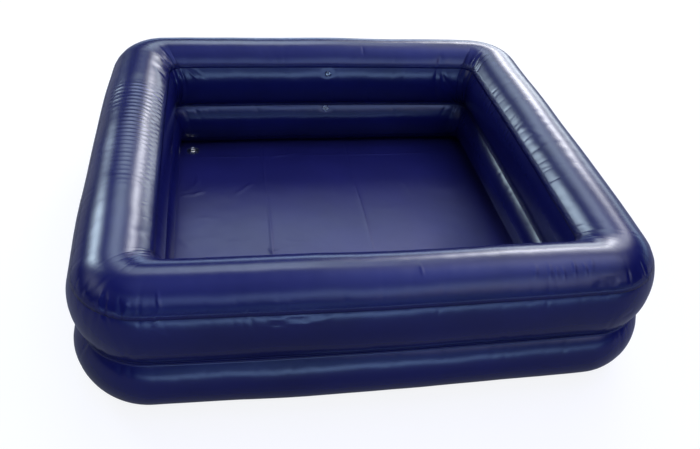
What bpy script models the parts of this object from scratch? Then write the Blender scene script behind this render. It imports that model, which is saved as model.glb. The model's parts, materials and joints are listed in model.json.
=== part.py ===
# Square inflatable pool: two stacked air chambers welded from soft sheet, a sheet floor, an
# inflation valve in each chamber's rear inner wall and a drain in the floor's rear corner.
# Metres, +Z up. The origin is the centre of the underside, and -Y is the front.
import math

import bmesh
import bpy
from mathutils import Matrix, Vector

# Plan, between the tangents of the corners of the upper chamber
POOL_WIDTH = 1.500
POOL_DEPTH = 1.428
SIDE_BOW = 0.0166
OUTER_CORNER_RADIUS = 0.191
INNER_CORNER_RADIUS = 0.035

# Sections of the two chambers, which share a centre line and a flat web at the waist. The
# lower one is flatter and stands out a little on both sides.
TUBE_WIDTH = 0.225
LOWER_TUBE_OUTSET = 0.007
UPPER_HALF_HEIGHT = 0.128
LOWER_HALF_HEIGHT = 0.104
WEB_WIDTH_SHARE = 0.76
WEB_WIDTH = WEB_WIDTH_SHARE * TUBE_WIDTH
GROUND_STRIP_WIDTH = 0.100

# Sheet and its welds
SHEET = 0.0005
CLEARANCE = 0.0003
TOP_SEAM_ANGLE = math.radians(35.0)
TOP_SEAM_LAP = 0.012
WAIST_FIN = 0.006
BASE_LAP = 0.012

# Storage creases pressed into the floor sheet
CREASE_HEIGHT = 0.0025
CREASE_HALF_WIDTH = 0.009
CREASE_END_INSET = 0.140
LENGTHWISE_CREASE_X = 0.094
SECOND_LENGTHWISE_CREASE_X = -0.232
CROSSWISE_CREASE_Y = 0.440

# Inflation valve, measured from the middle of the wall sheet that it is welded behind
VALVE_X = 0.010
UPPER_VALVE_ANGLE = math.radians(158.0)
LOWER_VALVE_ANGLE = math.radians(145.0)
VALVE_FLANGE_RADIUS = 0.0140
VALVE_FACET_MARGIN = 0.0020
VALVE_FLANGE_THICKNESS = 0.0010
VALVE_HOLE_RADIUS = 0.0105
STEM_RADIUS = 0.0065
STEM_BORE_RADIUS = 0.0042
STEM_LENGTH = 0.0160
STEM_LIP_RADIUS = 0.0085
STEM_LIP_THICKNESS = 0.0016
STEM_SHOULDER_RADIUS = 0.0090
STEM_SHOULDER_THICKNESS = 0.0014
FLAP_RADIUS = 0.0056
FLAP_THICKNESS = 0.0006
PLUG_SHANK_LENGTH = 0.0090
PLUG_CAP_THICKNESS = 0.0016
PLUG_TAPER = 0.0005

# Drain, set in from where the lower chamber's inner wall meets the floor
DRAIN_INSET_X = 0.0970
DRAIN_INSET_Y = 0.0650
DRAIN_HOLE_RADIUS = 0.0080
DRAIN_FLANGE_RADIUS = 0.0240
DRAIN_FLANGE_THICKNESS = 0.0010
DRAIN_NECK_RADIUS = 0.0100
DRAIN_BORE_RADIUS = 0.0070
DRAIN_NECK_HEIGHT = 0.0070
DRAIN_SHANK_LENGTH = 0.0060
DRAIN_CAP_RADIUS = 0.0125
DRAIN_CAP_THICKNESS = 0.0020
DRAIN_KNOB_RADIUS = 0.0040
DRAIN_KNOB_HEIGHT = 0.0035

# Plug straps
STRAP_THICKNESS = 0.0008
STRAP_WIDTH = 0.0032
VALVE_STRAP_REACH = 0.0120
DRAIN_STRAP_WIDTH = 0.0050
DRAIN_STRAP_REACH = 0.0180

# How finely the curves are divided
CORNER_STEPS = 6
SIDE_STEPS = 5
SECTION_STEPS = 5
TOP_STEPS = 8
CREASE_STEPS = 4
TURNED_STEPS = 20
STRAP_STEPS = 6
SMOOTH_ANGLE = math.radians(40.0)
CUT_OVERRUN = 0.004
MERGE_DISTANCE = CLEARANCE / 100


class Chamber:
    # A chamber's section is an ellipse round a centre line, with its own drop below it.
    def __init__(self, tube_width, rise, drop, centre_height):
        self.half_width = tube_width / 2
        self.rise = rise
        self.drop = drop
        self.centre_height = centre_height

    def offset(self, angle):
        return self.half_width * math.cos(angle)

    def height(self, angle):
        reach = self.rise if math.sin(angle) > 0 else self.drop
        return self.centre_height + reach * math.sin(angle)

    def stretch(self, angle):
        # Arc length of the section for each radian at this angle
        return math.hypot(self.half_width * math.sin(angle), self.rise * math.cos(angle))


def solve_chambers():
    # The web's width fixes where the two ellipses meet, and that fixes all the heights.
    flange_height = SHEET + CLEARANCE + SHEET / 2
    lower_tube_width = TUBE_WIDTH + 2 * LOWER_TUBE_OUTSET
    upper_waist_angle = math.acos(WEB_WIDTH / TUBE_WIDTH)
    lower_waist_angle = math.acos(WEB_WIDTH / lower_tube_width)
    ground_angle = math.acos(GROUND_STRIP_WIDTH / lower_tube_width)
    layer = SHEET + CLEARANCE
    lower_drop = (LOWER_HALF_HEIGHT - flange_height) / math.sin(ground_angle)
    lower = Chamber(lower_tube_width, LOWER_HALF_HEIGHT, lower_drop, LOWER_HALF_HEIGHT)
    web_height = lower.height(lower_waist_angle) + layer
    upper_centre = web_height + layer + UPPER_HALF_HEIGHT * math.sin(upper_waist_angle)
    upper = Chamber(TUBE_WIDTH, UPPER_HALF_HEIGHT, UPPER_HALF_HEIGHT, upper_centre)
    return upper, lower, web_height, upper_waist_angle, lower_waist_angle, ground_angle


UPPER, LOWER, WEB_HEIGHT, UPPER_WAIST, LOWER_WAIST, GROUND_ANGLE = solve_chambers()

# The chambers' common centre line, and half of the floor inside the ground strip
CENTRE_HALF_X = (POOL_WIDTH - TUBE_WIDTH) / 2
CENTRE_HALF_Y = (POOL_DEPTH - TUBE_WIDTH) / 2
FLOOR_HALF_X = CENTRE_HALF_X - GROUND_STRIP_WIDTH / 2
FLOOR_HALF_Y = CENTRE_HALF_Y - GROUND_STRIP_WIDTH / 2


def spread(start, stop, steps):
    return [start + (stop - start) * i / steps for i in range(steps + 1)]


def bulge(x, y):
    # Air pressure bows every side outwards, most at its middle and not at all at its corners.
    half_x = POOL_WIDTH / 2
    half_y = POOL_DEPTH / 2
    grown_x = x * (1 + SIDE_BOW / half_x * (1 - (y / half_y) ** 2))
    grown_y = y * (1 + SIDE_BOW / half_y * (1 - (x / half_x) ** 2))
    return grown_x, grown_y


def plan_loop(offset, height):
    # A rounded rectangle at this distance outside the centre line. Its corners tighten
    # towards the inside of the pool, where the sheet is pinched.
    half_x = CENTRE_HALF_X + offset
    half_y = CENTRE_HALF_Y + offset
    outwards_share = max(0.0, offset / TUBE_WIDTH + 1 / 2)
    radius = INNER_CORNER_RADIUS + (OUTER_CORNER_RADIUS - INNER_CORNER_RADIUS) * outwards_share ** 2
    arcs = []
    for turn, (side_x, side_y) in enumerate(((1, 1), (-1, 1), (-1, -1), (1, -1))):
        centre = Vector((side_x * (half_x - radius), side_y * (half_y - radius)))
        quarter = math.pi / 2
        angles = spread(turn * quarter, (turn + 1) * quarter, CORNER_STEPS)
        arcs.append([centre + radius * Vector((math.cos(a), math.sin(a))) for a in angles])
    points = []
    for arc, following in zip(arcs, arcs[1:] + arcs[:1]):
        points += arc
        for share in spread(0.0, 1.0, SIDE_STEPS)[1:-1]:
            points.append(arc[-1].lerp(following[0], share))
    return [Vector((*bulge(p.x, p.y), height)) for p in points]


def section_loop(chamber, angle):
    return plan_loop(chamber.offset(angle), chamber.height(angle))


def material(name, colour, roughness, transmission=0.0):
    mat = bpy.data.materials.new(name)
    mat.use_nodes = True
    shader = mat.node_tree.nodes["Principled BSDF"]
    shader.inputs["Base Color"].default_value = (*colour, 1.0)
    shader.inputs["Roughness"].default_value = roughness
    shader.inputs["Metallic"].default_value = 0.0
    shader.inputs["Transmission Weight"].default_value = transmission
    mat.diffuse_color = (*colour, 1.0)
    return mat


def new_object(name, bm, mat, parent=None):
    mesh = bpy.data.meshes.new(name)
    bm.to_mesh(mesh)
    bm.free()
    mesh.shade_smooth()
    mesh.set_sharp_from_angle(angle=SMOOTH_ANGLE)
    mesh.materials.append(mat)
    obj = bpy.data.objects.new(name, mesh)
    bpy.context.collection.objects.link(obj)
    obj.parent = parent
    return obj


def new_empty(name, placement, parent=None):
    empty = bpy.data.objects.new(name, None)
    bpy.context.collection.objects.link(empty)
    empty.parent = parent
    empty.matrix_local = placement
    return empty


def loft_sheet(name, loops, mat, standoff=0.0):
    # Lofts the sheet's middle surface through closed loops, which follow each other round the
    # section with the chamber's air on their left, then gives it the sheet's thickness.
    bm = bmesh.new()
    rings = [[bm.verts.new(p) for p in loop] for loop in loops]
    count = len(rings[0])
    for ring, following in zip(rings, rings[1:]):
        for i in range(count):
            j = (i + 1) % count
            bm.faces.new((ring[i], ring[j], following[j], following[i]))
    bm.normal_update()
    moves = [v.normal * standoff * v.calc_shell_factor() for v in bm.verts]
    for vert, move in zip(bm.verts, moves):
        vert.co += move
    sheet = new_object(name, bm, mat)
    thicken(sheet, 0.0)
    return sheet


def thicken(obj, side):
    solidify = obj.modifiers.new("Sheet", "SOLIDIFY")
    solidify.thickness = SHEET
    solidify.offset = side
    solidify.use_even_offset = True


def round_plate(radius, depth):
    bm = bmesh.new()
    size = {"radius1": radius, "radius2": radius, "depth": depth}
    bmesh.ops.create_cone(bm, cap_ends=True, segments=TURNED_STEPS, **size)
    return bm


def cut_round_hole(obj, name, radius, placement):
    bm = round_plate(radius, 2 * (CUT_OVERRUN + SHEET))
    mesh = bpy.data.meshes.new(name)
    bm.to_mesh(mesh)
    bm.free()
    cutter = bpy.data.objects.new(name, mesh)
    bpy.context.collection.objects.link(cutter)
    cutter.matrix_world = placement
    cutter.hide_render = True
    cutter.display_type = "WIRE"
    boolean = obj.modifiers.new("Hole", "BOOLEAN")
    boolean.operation = "DIFFERENCE"
    boolean.solver = "EXACT"
    boolean.object = cutter


def turned(name, profile, mat, parent):
    # Spins a closed outline of (radius, height) points round the parent's Z axis.
    bm = bmesh.new()
    verts = [bm.verts.new((radius, 0.0, height)) for radius, height in profile]
    edges = [bm.edges.new((verts[i], verts[(i + 1) % len(verts)])) for i in range(len(verts))]
    around = {"cent": (0, 0, 0), "axis": (0, 0, 1), "angle": 2 * math.pi}
    bmesh.ops.spin(bm, geom=verts + edges, steps=TURNED_STEPS, use_merge=True, **around)
    bmesh.ops.remove_doubles(bm, verts=bm.verts, dist=MERGE_DISTANCE)
    loose = [e for e in bm.edges if not e.link_faces]
    bmesh.ops.delete(bm, geom=loose, context="EDGES")
    bmesh.ops.recalc_face_normals(bm, faces=bm.faces)
    return new_object(name, bm, mat, parent)


def strap(name, low, high, reach, width, mat, parent):
    # A soft ribbon that leaves the stem at low = (radius, height), bends back at its reach
    # and comes in over itself to the plug's cap at high.
    half = STRAP_THICKNESS / 2
    bend_height = (low[1] + high[1]) / 2
    bend_radius = (high[1] - low[1]) / 2
    angles = spread(-math.pi / 2, math.pi / 2, STRAP_STEPS)

    def edge(radius):
        return [(reach + radius * math.cos(a), bend_height + radius * math.sin(a)) for a in angles]

    outer = [(low[0], low[1] - half)] + edge(bend_radius + half) + [(high[0], high[1] + half)]
    inner = [(high[0], high[1] - half)] + edge(bend_radius - half)[::-1] + [(low[0], low[1] + half)]
    bm = bmesh.new()
    verts = [bm.verts.new((x, -width / 2, z)) for x, z in outer + inner]
    face = bm.faces.new(verts)
    grown = bmesh.ops.extrude_face_region(bm, geom=[face])["geom"]
    bmesh.ops.translate(bm, vec=(0, width, 0), verts=[v for v in grown if isinstance(v, bmesh.types.BMVert)])
    bmesh.ops.recalc_face_normals(bm, faces=bm.faces)
    return new_object(name, bm, mat, parent)


def waist_fin_loop(chamber, waist_angle, side, height):
    # The weld at the waist stands out as a fin: side is 1 outside the pool and -1 inside it.
    return plan_loop(side * (chamber.offset(waist_angle) + WAIST_FIN), height)


def valve_facet(chamber, angle):
    # Half the angle of the flat that the valve's flange needs
    return math.asin((VALVE_FLANGE_RADIUS + VALVE_FACET_MARGIN) / chamber.stretch(angle))


def make_sheets(vinyl):
    half_lap = TOP_SEAM_LAP / TUBE_WIDTH
    outer_seam = [TOP_SEAM_ANGLE - half_lap, TOP_SEAM_ANGLE + half_lap]
    inner_seam = [math.pi - TOP_SEAM_ANGLE - half_lap, math.pi - TOP_SEAM_ANGLE + half_lap]
    layer = SHEET + CLEARANCE

    crown = spread(outer_seam[1], inner_seam[0], TOP_STEPS)
    angles = [outer_seam[0]] + crown + [inner_seam[1]]
    loft_sheet("top_panel", [section_loop(UPPER, a) for a in angles], vinyl, standoff=layer)

    waist_z = WEB_HEIGHT + layer
    angles = spread(-UPPER_WAIST, outer_seam[0], SECTION_STEPS) + [outer_seam[1]]
    loops = [waist_fin_loop(UPPER, UPPER_WAIST, 1, waist_z)] + [section_loop(UPPER, a) for a in angles]
    loft_sheet("upper_outer_wall", loops, vinyl)

    facet = valve_facet(UPPER, UPPER_VALVE_ANGLE)
    flat = [UPPER_VALVE_ANGLE - facet, UPPER_VALVE_ANGLE + facet]
    angles = inner_seam + flat + spread(flat[1], math.pi + UPPER_WAIST, SECTION_STEPS - 1)[1:]
    loops = [section_loop(UPPER, a) for a in angles] + [waist_fin_loop(UPPER, UPPER_WAIST, -1, waist_z)]
    upper_inner = loft_sheet("upper_inner_wall", loops, vinyl)

    web_reach = WEB_WIDTH / 2 + WAIST_FIN
    loops = [plan_loop(web_reach, WEB_HEIGHT), plan_loop(-web_reach, WEB_HEIGHT)]
    loft_sheet("chamber_web", loops, vinyl)

    waist_z = WEB_HEIGHT - layer
    flange_z = LOWER.height(-GROUND_ANGLE)
    lap_offset = GROUND_STRIP_WIDTH / 2 - BASE_LAP
    angles = spread(-GROUND_ANGLE, LOWER_WAIST, SECTION_STEPS + 1)
    loops = [plan_loop(lap_offset, flange_z)] + [section_loop(LOWER, a) for a in angles]
    loops.append(waist_fin_loop(LOWER, LOWER_WAIST, 1, waist_z))
    loft_sheet("lower_outer_wall", loops, vinyl)

    facet = valve_facet(LOWER, LOWER_VALVE_ANGLE)
    flat = [LOWER_VALVE_ANGLE - facet, LOWER_VALVE_ANGLE + facet]
    angles = [math.pi - LOWER_WAIST] + flat + spread(flat[1], math.pi + GROUND_ANGLE, SECTION_STEPS)[1:]
    loops = [waist_fin_loop(LOWER, LOWER_WAIST, -1, waist_z)] + [section_loop(LOWER, a) for a in angles]
    loops.append(plan_loop(-lap_offset, flange_z))
    lower_inner = loft_sheet("lower_inner_wall", loops, vinyl)
    return upper_inner, lower_inner


def floor_rise(x, y):
    # Each crease is a low ridge that fades out before it reaches the walls.
    def ridge(across, along, run):
        fade = max(0.0, 1 - (along / run) ** 2)
        return CREASE_HEIGHT * fade * max(0.0, 1 - abs(across) / CREASE_HALF_WIDTH)

    run_x, run_y = crease_runs()
    lengthwise = [ridge(x - place, y, run_y) for place in (LENGTHWISE_CREASE_X, SECOND_LENGTHWISE_CREASE_X)]
    return sum(lengthwise) + ridge(y - CROSSWISE_CREASE_Y, x, run_x)


def crease_runs():
    # Half lengths of the crosswise and the lengthwise creases
    return FLOOR_HALF_X - CREASE_END_INSET, FLOOR_HALF_Y - CREASE_END_INSET


def make_floor(vinyl):
    outline = plan_loop(GROUND_STRIP_WIDTH / 2, 0.0)
    bm = bmesh.new()
    bm.faces.new([bm.verts.new(p) for p in outline])
    run_x, run_y = crease_runs()
    ridge = (-CREASE_HALF_WIDTH, 0.0, CREASE_HALF_WIDTH)
    lengthwise = (LENGTHWISE_CREASE_X, SECOND_LENGTHWISE_CREASE_X)
    lines_x = spread(-run_x, run_x, CREASE_STEPS) + [place + r for place in lengthwise for r in ridge]
    lines_y = spread(-run_y, run_y, CREASE_STEPS) + [CROSSWISE_CREASE_Y + r for r in ridge]
    cuts = [((x, 0, 0), (1, 0, 0)) for x in lines_x] + [((0, y, 0), (0, 1, 0)) for y in lines_y]
    for place, direction in cuts:
        everything = bm.verts[:] + bm.edges[:] + bm.faces[:]
        bmesh.ops.bisect_plane(bm, geom=everything, plane_co=place, plane_no=direction, dist=MERGE_DISTANCE)
    for vert in bm.verts:
        vert.co.z = floor_rise(vert.co.x, vert.co.y)
    floor = new_object("floor_sheet", bm, vinyl)
    thicken(floor, 1.0)
    return floor


def wall_frame(chamber, angle, x):
    # Where a valve sits: the middle of its flat on the rear inner wall, with local Z out of
    # the wall into the pool and local Y up the wall.
    facet = valve_facet(chamber, angle)
    places = []
    for edge_angle in (angle - facet, angle + facet):
        ring = section_loop(chamber, edge_angle)
        for a, b in zip(ring, ring[1:]):
            if a.y > 0 and b.y > 0 and b.x <= x <= a.x:
                places.append(a.lerp(b, (x - a.x) / (b.x - a.x)))
                along = (a - b).normalized()
                break
    top, bottom = places
    up = (top - bottom).normalized()
    out = along.cross(up).normalized()
    rotation = Matrix((along, out.cross(along), out)).transposed().to_4x4()
    return Matrix.Translation((top + bottom) / 2) @ rotation


def make_valve(prefix, chamber, angle, wall, clear):
    placement = wall_frame(chamber, angle, VALVE_X)
    cut_round_hole(wall, prefix + "_valve_hole_cutter", VALVE_HOLE_RADIUS, placement)
    seat = new_empty(prefix + "_valve_seat", placement)

    flange_top = -SHEET / 2 - CLEARANCE
    flange_bottom = flange_top - VALVE_FLANGE_THICKNESS
    flange_bore = STEM_RADIUS + CLEARANCE
    profile = [(flange_bore, flange_bottom), (VALVE_FLANGE_RADIUS, flange_bottom)]
    profile += [(VALVE_FLANGE_RADIUS, flange_top), (flange_bore, flange_top)]
    turned(prefix + "_valve_flange", profile, clear, seat)

    # The stem slides out until its shoulder meets the back of the flange.
    bottom = -STEM_LENGTH
    shoulder_top = bottom + STEM_SHOULDER_THICKNESS
    print(prefix, "stem travel", round(flange_bottom - shoulder_top - CLEARANCE, 5))
    lip_bottom = flange_top + CLEARANCE
    lip_top = lip_bottom + STEM_LIP_THICKNESS
    lip_round = STEM_LIP_THICKNESS / 4
    profile = [(STEM_BORE_RADIUS, bottom), (STEM_SHOULDER_RADIUS, bottom)]
    profile += [(STEM_SHOULDER_RADIUS, shoulder_top), (STEM_RADIUS, shoulder_top)]
    profile += [(STEM_RADIUS, lip_bottom), (STEM_LIP_RADIUS, lip_bottom)]
    profile += [(STEM_LIP_RADIUS, lip_top - lip_round), (STEM_LIP_RADIUS - lip_round, lip_top)]
    profile += [(STEM_BORE_RADIUS, lip_top)]
    turned(prefix + "_valve_stem", profile, clear, seat)

    cap_bottom = lip_top + CLEARANCE
    cap_top = cap_bottom + PLUG_CAP_THICKNESS
    cap_round = PLUG_CAP_THICKNESS / 3
    shank_radius = STEM_BORE_RADIUS - CLEARANCE
    shank_bottom = cap_bottom - PLUG_SHANK_LENGTH
    profile = [(0.0, shank_bottom), (shank_radius - PLUG_TAPER, shank_bottom), (shank_radius, cap_bottom)]
    profile += [(STEM_LIP_RADIUS, cap_bottom), (STEM_LIP_RADIUS, cap_top - cap_round)]
    profile += [(STEM_LIP_RADIUS - cap_round, cap_top), (0.0, cap_top)]
    turned(prefix + "_valve_plug", profile, clear, seat)

    # The flap hangs from its upper edge, which is the hinge's own X axis.
    hinge_place = Matrix.Translation((0.0, FLAP_RADIUS, bottom - CLEARANCE))
    hinge = new_empty(prefix + "_valve_flap_hinge", hinge_place, seat)
    bm = round_plate(FLAP_RADIUS, FLAP_THICKNESS)
    bmesh.ops.translate(bm, vec=(0.0, -FLAP_RADIUS, -FLAP_THICKNESS / 2), verts=bm.verts)
    new_object(prefix + "_valve_flap", bm, clear, hinge)

    ribbon_low = (STEM_LIP_RADIUS + CLEARANCE, SHEET / 2 + CLEARANCE + STRAP_THICKNESS / 2)
    ribbon_high = (STEM_LIP_RADIUS + CLEARANCE, (cap_bottom + cap_top) / 2)
    strap(prefix + "_valve_strap", ribbon_low, ribbon_high, VALVE_STRAP_REACH, STRAP_WIDTH, clear, seat)


def drain_place():
    return Vector((DRAIN_INSET_X - FLOOR_HALF_X, FLOOR_HALF_Y - DRAIN_INSET_Y, SHEET + CLEARANCE))


def make_drain(floor, clear):
    placement = Matrix.Translation(drain_place())
    cut_round_hole(floor, "drain_hole_cutter", DRAIN_HOLE_RADIUS, placement)
    seat = new_empty("drain_seat", placement)

    neck_top = DRAIN_FLANGE_THICKNESS + DRAIN_NECK_HEIGHT
    profile = [(DRAIN_BORE_RADIUS, 0.0), (DRAIN_FLANGE_RADIUS, 0.0)]
    profile += [(DRAIN_FLANGE_RADIUS, DRAIN_FLANGE_THICKNESS), (DRAIN_NECK_RADIUS, DRAIN_FLANGE_THICKNESS)]
    profile += [(DRAIN_NECK_RADIUS, neck_top), (DRAIN_BORE_RADIUS, neck_top)]
    turned("drain_fitting", profile, clear, seat)

    cap_bottom = neck_top + CLEARANCE
    cap_top = cap_bottom + DRAIN_CAP_THICKNESS
    cap_round = DRAIN_CAP_THICKNESS / 3
    shank_radius = DRAIN_BORE_RADIUS - CLEARANCE
    knob_top = cap_top + DRAIN_KNOB_HEIGHT
    shank_bottom = cap_bottom - DRAIN_SHANK_LENGTH
    profile = [(0.0, shank_bottom), (shank_radius - PLUG_TAPER, shank_bottom), (shank_radius, cap_bottom)]
    profile += [(DRAIN_CAP_RADIUS, cap_bottom), (DRAIN_CAP_RADIUS, cap_top - cap_round)]
    profile += [(DRAIN_CAP_RADIUS - cap_round, cap_top), (DRAIN_KNOB_RADIUS, cap_top)]
    profile += [(DRAIN_KNOB_RADIUS, knob_top - cap_round), (DRAIN_KNOB_RADIUS - cap_round, knob_top)]
    profile += [(0.0, knob_top)]
    turned("drain_plug", profile, clear, seat)

    ribbon_low = (DRAIN_NECK_RADIUS + CLEARANCE, DRAIN_FLANGE_THICKNESS + CLEARANCE + STRAP_THICKNESS / 2)
    ribbon_high = (DRAIN_CAP_RADIUS + CLEARANCE, (cap_bottom + cap_top) / 2)
    strap("drain_strap", ribbon_low, ribbon_high, DRAIN_STRAP_REACH, DRAIN_STRAP_WIDTH, clear, seat)


def main():
    for obj in list(bpy.data.objects):
        bpy.data.objects.remove(obj, do_unlink=True)
    vinyl = material("navy_vinyl", (0.020, 0.022, 0.110), 0.30)
    floor_vinyl = material("navy_floor_vinyl", (0.022, 0.022, 0.100), 0.42)
    clear = material("clear_soft_vinyl", (0.72, 0.76, 0.84), 0.18, transmission=0.5)
    upper_inner, lower_inner = make_sheets(vinyl)
    floor = make_floor(floor_vinyl)
    make_valve("upper", UPPER, UPPER_VALVE_ANGLE, upper_inner, clear)
    make_valve("lower", LOWER, LOWER_VALVE_ANGLE, lower_inner, clear)
    make_drain(floor, clear)
    bpy.context.view_layer.update()
    print("top of the rim", round(UPPER.centre_height + UPPER.rise + SHEET + CLEARANCE + SHEET / 2, 4))


main()
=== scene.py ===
import json
import math

import bmesh
import bpy
import numpy as np
from mathutils import Matrix, Vector


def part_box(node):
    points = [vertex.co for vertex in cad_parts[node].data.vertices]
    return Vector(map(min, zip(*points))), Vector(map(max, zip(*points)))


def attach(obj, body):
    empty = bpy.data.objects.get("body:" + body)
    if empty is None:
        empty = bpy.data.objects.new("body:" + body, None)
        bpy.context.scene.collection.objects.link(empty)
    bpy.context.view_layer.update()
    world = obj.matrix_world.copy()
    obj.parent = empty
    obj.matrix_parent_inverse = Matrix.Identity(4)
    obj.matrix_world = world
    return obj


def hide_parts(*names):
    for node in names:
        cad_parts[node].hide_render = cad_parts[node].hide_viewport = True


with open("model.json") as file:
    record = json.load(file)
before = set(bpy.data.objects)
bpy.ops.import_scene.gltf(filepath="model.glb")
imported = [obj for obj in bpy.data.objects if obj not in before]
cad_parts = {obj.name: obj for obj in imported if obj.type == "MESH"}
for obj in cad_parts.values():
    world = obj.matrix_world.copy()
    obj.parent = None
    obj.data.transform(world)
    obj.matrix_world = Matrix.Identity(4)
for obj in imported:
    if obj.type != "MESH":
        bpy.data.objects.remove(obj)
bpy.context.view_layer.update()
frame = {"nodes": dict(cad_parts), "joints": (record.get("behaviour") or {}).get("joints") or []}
scene = bpy.context.scene
collection = scene.collection
quarter = math.pi / 2
print("frame loaded with", len(frame["nodes"]), "nodes")


# The camera stands where the photograph was taken, and pixels are those of the photograph.
photoCamera = {
    "place": Vector((-0.3711, -1.8188, 1.4837)),
    "yaw": math.radians(12.60),    # from +Y towards +X
    "pitch": math.radians(38.36),  # below the horizon
    "roll": math.radians(5.80),
    "lens": 36.17,                 # mm
    "sensor": 36.0,                # mm
    "frameWidth": 700,
    "frameHeight": 449,
}


def cameraAxes():
    yaw, pitch, roll = (photoCamera[key] for key in ("yaw", "pitch", "roll"))
    forward = Vector((math.sin(yaw) * math.cos(pitch), math.cos(yaw) * math.cos(pitch), -math.sin(pitch)))
    level = Vector((math.cos(yaw), -math.sin(yaw), 0.0))
    above = level.cross(forward)
    right = math.cos(roll) * level + math.sin(roll) * above
    up = math.cos(roll) * above - math.sin(roll) * level
    return right, up, forward


def seenAt(pixel):
    # The place on the pool that shows at this pixel of the photograph
    right, up, forward = cameraAxes()
    step = photoCamera["sensor"] / photoCamera["frameWidth"] / photoCamera["lens"]
    sideways = (pixel[0] - photoCamera["frameWidth"] / 2) * step
    upwards = (photoCamera["frameHeight"] / 2 - pixel[1]) * step
    ray = (forward + right * sideways + up * upwards).normalized()
    hit, place = scene.ray_cast(bpy.context.evaluated_depsgraph_get(), photoCamera["place"], ray)[:2]
    return np.array(place) if hit else None


def addCamera():
    data = bpy.data.cameras.new("photoCamera")
    data.lens = photoCamera["lens"]
    data.sensor_width = photoCamera["sensor"]
    data.sensor_fit = "HORIZONTAL"
    camera = bpy.data.objects.new("photoCamera", data)
    right, up, forward = cameraAxes()
    turned = Matrix((right, up, -forward)).transposed().to_4x4()
    camera.matrix_world = Matrix.Translation(photoCamera["place"]) @ turned
    collection.objects.link(camera)
    scene.camera = camera


addCamera()
print("camera placed")


# The pool as it was built: everything below follows these sizes, in metres.
pool = {
    "width": 1.500,
    "depth": 1.428,
    "sideBow": 0.0166,
    "outerCorner": 0.191,
    "innerCorner": 0.035,
    "tubeWidth": 0.225,
    "lowerOutset": 0.007,
    "upperHalfHeight": 0.128,
    "lowerHalfHeight": 0.104,
    "webWidth": 0.171,
    "groundStrip": 0.100,
    "sheet": 0.0005,
    "clearance": 0.0003,
    "seamAngle": math.radians(35.0),
    "seamLap": 0.012,
    "waistFin": 0.006,
    "baseLap": 0.012,
}
layer = pool["sheet"] + pool["clearance"]
lowerTube = pool["tubeWidth"] + 2 * pool["lowerOutset"]
upperWaist = math.acos(pool["webWidth"] / pool["tubeWidth"])
lowerWaist = math.acos(pool["webWidth"] / lowerTube)
groundAngle = math.acos(pool["groundStrip"] / lowerTube)
groundHeight = layer + pool["sheet"] / 2
webHeight = pool["lowerHalfHeight"] * (1 + math.sin(lowerWaist)) + layer
centreHalf = ((pool["width"] - pool["tubeWidth"]) / 2, (pool["depth"] - pool["tubeWidth"]) / 2)
upper = {
    "Half width": pool["tubeWidth"] / 2,
    "Rise": pool["upperHalfHeight"],
    "Drop": pool["upperHalfHeight"],
    "Centre height": webHeight + layer + pool["upperHalfHeight"] * math.sin(upperWaist),
}
lower = {
    "Half width": lowerTube / 2,
    "Rise": pool["lowerHalfHeight"],
    "Drop": (pool["lowerHalfHeight"] - groundHeight) / math.sin(groundAngle),
    "Centre height": pool["lowerHalfHeight"],
}


class Field:
    # A number that flows through a node tree, so that a sum of nodes reads as a sum.
    def __init__(self, tree, socket):
        self.tree = tree
        self.socket = socket

    def does(self, operation, *others):
        node = self.tree.nodes.new("ShaderNodeMath")
        node.operation = operation
        for socket, value in zip(node.inputs, (self, *others)):
            plug(self.tree, value, socket)
        return Field(self.tree, node.outputs[0])

    def __add__(self, other):
        return self.does("ADD", other)

    def __sub__(self, other):
        return self.does("SUBTRACT", other)

    def __mul__(self, other):
        return self.does("MULTIPLY", other)

    def __truediv__(self, other):
        return self.does("DIVIDE", other)

    def __neg__(self):
        return self.does("MULTIPLY", -1.0)

    def clamped(self):
        return self.does("MINIMUM", 1.0).does("MAXIMUM", 0.0)

    def mixed(self, other, share):
        return self + (other - self) * share

    __radd__ = __add__
    __rmul__ = __mul__


def plug(tree, value, socket):
    if isinstance(value, Field):
        value = value.socket
    if isinstance(value, bpy.types.NodeSocket):
        tree.links.new(value, socket)
    else:
        socket.default_value = value


def addNode(tree, kind, inputs=None, **settings):
    node = tree.nodes.new(kind)
    for name, value in settings.items():
        setattr(node, name, value)
    for name, value in (inputs or {}).items():
        plug(tree, value, node.inputs[name])
    return node


def splitVector(tree, vector):
    node = addNode(tree, "ShaderNodeSeparateXYZ", {"Vector": vector})
    return [Field(tree, output) for output in node.outputs]


def newTree(name, numbers, counts=()):
    # A geometry tree with these named inputs and a material, and the fields that they feed
    tree = bpy.data.node_groups.new(name, "GeometryNodeTree")
    tree.is_modifier = True
    for label in counts:
        tree.interface.new_socket(label, in_out="INPUT", socket_type="NodeSocketInt")
    for label in numbers:
        tree.interface.new_socket(label, in_out="INPUT", socket_type="NodeSocketFloat")
    tree.interface.new_socket("Material", in_out="INPUT", socket_type="NodeSocketMaterial")
    tree.interface.new_socket("Geometry", in_out="OUTPUT", socket_type="NodeSocketGeometry")
    source = tree.nodes.new("NodeGroupInput")
    return tree, {output.name: Field(tree, output) for output in source.outputs if output.name}


def endTree(tree, geometry, material):
    smooth = addNode(tree, "GeometryNodeSetShadeSmooth", {"Geometry": geometry})
    real = addNode(tree, "GeometryNodeRealizeInstances", {"Geometry": smooth.outputs[0]})
    painted = addNode(tree, "GeometryNodeSetMaterial", {"Geometry": real.outputs[0], "Material": material})
    tree.links.new(painted.outputs[0], tree.nodes.new("NodeGroupOutput").inputs["Geometry"])


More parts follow.
